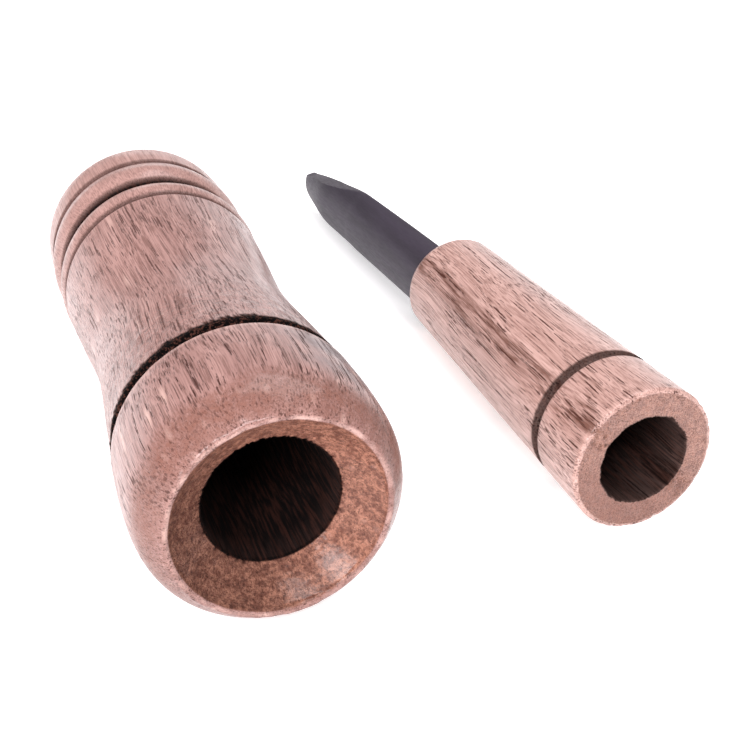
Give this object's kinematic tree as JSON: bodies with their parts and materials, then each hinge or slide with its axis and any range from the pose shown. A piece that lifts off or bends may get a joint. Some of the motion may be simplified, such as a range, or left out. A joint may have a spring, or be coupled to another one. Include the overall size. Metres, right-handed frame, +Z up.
{
  "type": "duck call",
  "caption": "Turned wooden duck call taken apart: a bowled barrel and, beside it, the tapered stopper with its half-round tone board, reed and wedge.",
  "frame": {"origin": "on the table the call lies on, under the middle of the whole object", "axes": "+Z up, +Y along the barrel from its mouth to its far end, +X from the barrel to the stopper beside it"},
  "size_m": [0.0798, 0.1208, 0.0314],
  "materials": {
    "barrel_walnut": "satin varnish over open-pored walnut",
    "stopper_walnut": "satin varnish over open-pored walnut",
    "dark_plastic": "satin moulded plastic",
    "reed_film": "frosted polyester film",
    "cork": "fine natural cork"
  },
  "bodies": {
    "barrel": {"barrel": "barrel_walnut"},
    "stopper": {"stopper": "stopper_walnut"},
    "tone_board": {"tone_board": "dark_plastic"},
    "reed": {"reed": "reed_film"},
    "wedge": {"wedge": "cork"}
  },
  "joints": [
    {"name": "stopper_slide", "type": "slide", "parent": "barrel", "child": "stopper", "axis": [0.0758, -0.9971, 0], "range_m": [0, 0.07]},
    {"name": "reed_unit_slide", "type": "slide", "parent": "stopper", "child": "tone_board", "axis": [-0.1054, 0.9933, -0.0483], "range_m": [0, 0.024]},
    {"name": "wedge_slide", "type": "slide", "parent": "tone_board", "child": "wedge", "axis": [-0.135, 0.9891, -0.0581], "range_m": [0, 0.02]},
    {"name": "reed_flex", "type": "hinge", "parent": "tone_board", "child": "reed", "pos_m": [0.02548, 0.00942, 0.00835], "axis": [-0.3175, 0.0124, 0.9482], "range_deg": [0, 0.55], "stiffness_Nm_per_rad": 0.02}
  ]
}
